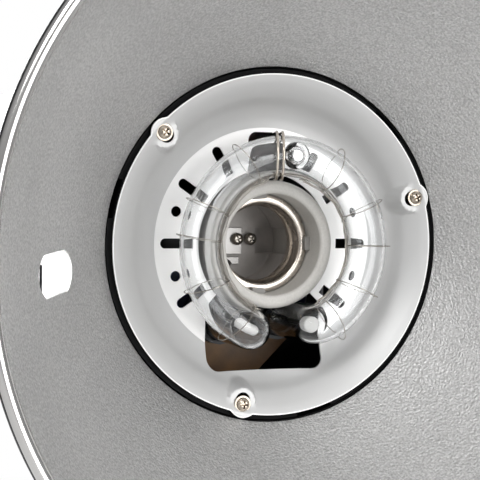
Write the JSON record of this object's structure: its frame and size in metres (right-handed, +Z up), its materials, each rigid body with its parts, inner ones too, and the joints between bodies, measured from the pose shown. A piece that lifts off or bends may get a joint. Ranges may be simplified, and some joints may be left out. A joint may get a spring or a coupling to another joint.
{
  "type": "studio flash head",
  "caption": "Studio flash head with a ring flash tube around an empty screw lampholder, a removable bowl reflector, a housing and a tilting stand bracket.",
  "frame": {"origin": "centre of the stand socket's mouth, on the socket's axis", "axes": "+Z up along the stand socket, -Y the way the light leaves, +X to the right of someone facing the lamp from the front with the bowl towards them"},
  "size_m": [0.2208, 0.3287, 0.2773],
  "materials": {
    "spun_aluminium": "satin inside with a fine hammered grain, black outside",
    "pressed_aluminium": "bright satin anodised sheet",
    "nickel": "warm nickel plate",
    "zinc_steel": "zinc plated",
    "housing_black": "fine black texture",
    "knob_plastic": "moulded black",
    "rubber": "soft black rubber",
    "steatite": "unglazed warm light grey",
    "quartz_glass": "clear, fire polished",
    "phenolic_board": "brown laminate",
    "circuit_board": "green solder mask",
    "capacitor_sleeve": "shrink sleeve",
    "cast_alloy": "die cast, black powder coat",
    "red_plastic": "moulded red",
    "tinted_lens": "tinted, polished",
    "display_window": "dark window, polished",
    "electrode": "sintered metal"
  },
  "bodies": {
    "stand": {"stand_socket": "cast_alloy", "friction_washer_right": "rubber", "friction_washer_left": "rubber", "tilt_bolt": "zinc_steel"},
    "head": {"front_plate": "pressed_aluminium", "plate_screw_1": "nickel", "plate_screw_2": "nickel", "plate_screw_3": "nickel", "lampholder_shell": "nickel", "lampholder_contact": "nickel", "lampholder_screw_1": "nickel", "lampholder_screw_2": "nickel", "tube_clamp": "nickel", "trigger_wire_left": "nickel", "trigger_wire_right": "nickel", "sync_socket": "nickel", "lampholder_bracket": "zinc_steel", "tube_clip_left": "zinc_steel", "tube_clip_right": "zinc_steel", "rear_screw_1": "zinc_steel", "rear_screw_2": "zinc_steel", "rear_screw_3": "zinc_steel", "rear_screw_4": "zinc_steel", "heat_sink": "zinc_steel", "umbrella_tube": "zinc_steel", "front_bezel": "housing_black", "housing_top": "housing_black", "housing_bottom": "housing_black", "rear_panel": "housing_black", "carry_handle": "knob_plastic", "fan_frame": "knob_plastic", "power_inlet": "knob_plastic", "switch_frame": "knob_plastic", "lampholder_ceramic": "steatite", "flash_tube": "quartz_glass", "tube_board": "phenolic_board", "main_board": "circuit_board", "main_capacitor_left": "capacitor_sleeve", "main_capacitor_right": "capacitor_sleeve", "tilt_bracket": "cast_alloy", "trigger_coil": "red_plastic", "slave_sensor": "tinted_lens", "display_window": "display_window", "tube_cathode": "electrode", "tube_anode": "electrode"},
    "reflector": {"reflector_dish": "spun_aluminium", "reflector_collar": "zinc_steel"},
    "tilt_lever": {"tilt_lever": "knob_plastic"},
    "stand_knob": {"stand_knob": "knob_plastic"},
    "fan": {"fan_rotor": "knob_plastic"},
    "power_dial": {"power_dial": "knob_plastic"},
    "lamp_dial": {"lamp_dial": "knob_plastic"},
    "test_button": {"test_button": "red_plastic"},
    "mode_button": {"mode_button": "rubber"},
    "beep_button": {"beep_button": "rubber"},
    "fuse_cap": {"fuse_cap": "knob_plastic"},
    "power_switch": {"power_switch": "red_plastic"},
    "reflector_catch": {"reflector_catch": "red_plastic"},
    "umbrella_knob": {"umbrella_knob": "knob_plastic"}
  },
  "joints": [
    {"name": "head_tilt", "type": "hinge", "parent": "stand", "child": "head", "pos_m": [0, 0, 0.062], "axis": [1, 0, 0], "range_deg": [-50, 80]},
    {"name": "reflector_turn", "type": "hinge", "parent": "head", "child": "reflector", "pos_m": [0, -0.095, 0.166], "axis": [0, -1, 0], "range_deg": [0, 85.6]},
    {"name": "reflector_catch_slide", "type": "slide", "parent": "head", "child": "reflector_catch", "axis": [0, 1, 0], "range_m": [0, 0.005], "stiffness_N_per_m": 400, "springref_m": -0.002},
    {"name": "fan_spin", "type": "hinge", "parent": "head", "child": "fan", "pos_m": [0, 0.119, 0.1963], "axis": [0, 1, 0], "continuous": true},
    {"name": "power_dial_turn", "type": "hinge", "parent": "head", "child": "power_dial", "pos_m": [-0.034, 0.136, 0.16], "axis": [0, 1, 0], "continuous": true},
    {"name": "lamp_dial_turn", "type": "hinge", "parent": "head", "child": "lamp_dial", "pos_m": [0.034, 0.136, 0.16], "axis": [0, 1, 0], "range_deg": [-135, 135]},
    {"name": "test_button_press", "type": "slide", "parent": "head", "child": "test_button", "axis": [0, -1, 0], "range_m": [0, 0.0015], "stiffness_N_per_m": 500, "springref_m": -0.001},
    {"name": "mode_button_press", "type": "slide", "parent": "head", "child": "mode_button", "axis": [0, -1, 0], "range_m": [0, 0.001], "stiffness_N_per_m": 500, "springref_m": -0.001},
    {"name": "beep_button_press", "type": "slide", "parent": "head", "child": "beep_button", "axis": [0, -1, 0], "range_m": [0, 0.001], "stiffness_N_per_m": 500, "springref_m": -0.001},
    {"name": "power_switch_rock", "type": "hinge", "parent": "head", "child": "power_switch", "pos_m": [0.039, 0.1365, 0.126], "axis": [0, 0, -1], "range_deg": [0, 20]},
    {"name": "fuse_cap_turn", "type": "hinge", "parent": "head", "child": "fuse_cap", "pos_m": [0.014, 0.136, 0.124], "axis": [0, 1, 0], "range_deg": [-90, 0]},
    {"name": "umbrella_knob_turn", "type": "hinge", "parent": "head", "child": "umbrella_knob", "pos_m": [0.007, -0.039, 0.08465], "axis": [1, 0, 0], "range_deg": [0, 720]},
    {"name": "tilt_lever_turn", "type": "hinge", "parent": "stand", "child": "tilt_lever", "pos_m": [0.0203, 0, 0.062], "axis": [1, 0, 0], "range_deg": [-40, 15]},
    {"name": "stand_knob_turn", "type": "hinge", "parent": "stand", "child": "stand_knob", "pos_m": [0, 0.019, 0.022], "axis": [0, 1, 0], "range_deg": [0, 720]}
  ]
}
